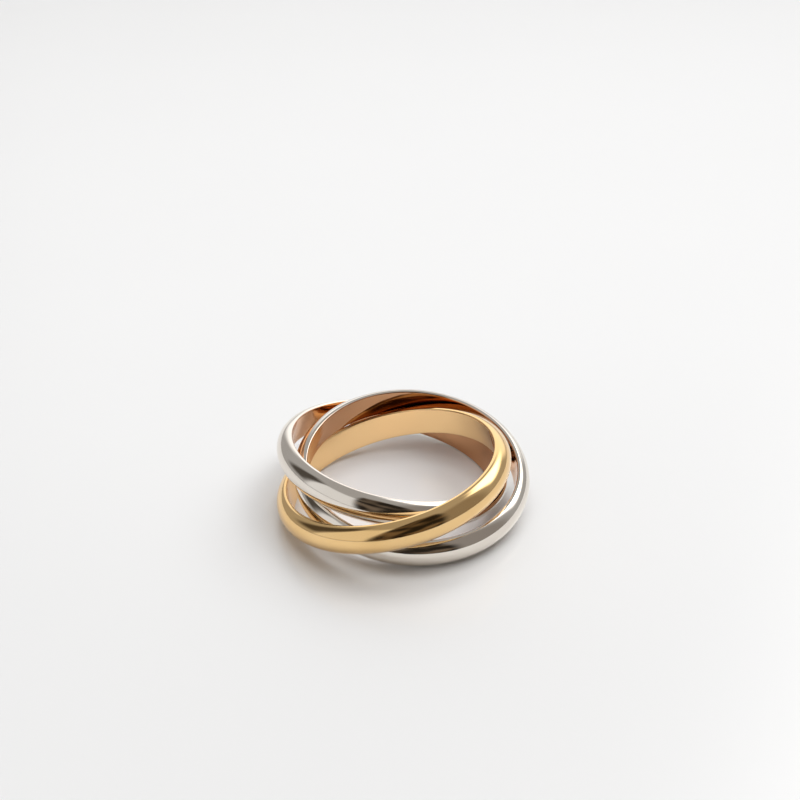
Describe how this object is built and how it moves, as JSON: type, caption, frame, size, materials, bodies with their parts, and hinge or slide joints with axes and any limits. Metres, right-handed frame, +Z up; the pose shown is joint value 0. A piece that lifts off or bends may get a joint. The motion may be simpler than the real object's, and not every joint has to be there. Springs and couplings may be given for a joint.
{
  "type": "rolling ring",
  "caption": "Finger ring of three plain domed bands, two in white gold and one in yellow gold, linked through one another so that they roll along the finger.",
  "frame": {"origin": "middle of the outline of all the bands, on the surface that the ring lies on", "axes": "+Z up, +Y away from the viewer of the picture, +X to the viewer's right"},
  "size_m": [0.0206, 0.0218, 0.0065],
  "materials": {
    "white_gold": "polished white gold, slightly warm, with fine wear marks, rosier on the inner walls",
    "yellow_gold": "polished yellow gold, with fine wear marks"
  },
  "bodies": {
    "white_band_lower": {"white_band_lower": "white_gold"},
    "white_band_upper": {"white_band_upper": "white_gold"},
    "yellow_band": {"yellow_band": "yellow_gold"}
  },
  "joints": [
    {"name": "white_band_turn", "type": "hinge", "parent": "white_band_lower", "child": "white_band_upper", "pos_m": [-0.00083, 0.00136, 0.003], "axis": [0.1762, 0.1123, 0.9779], "continuous": true},
    {"name": "yellow_band_turn", "type": "hinge", "parent": "white_band_lower", "child": "yellow_band", "pos_m": [-0.00081, -0.00133, 0.00327], "axis": [-0.2295, 0.0702, 0.9708], "continuous": true}
  ]
}
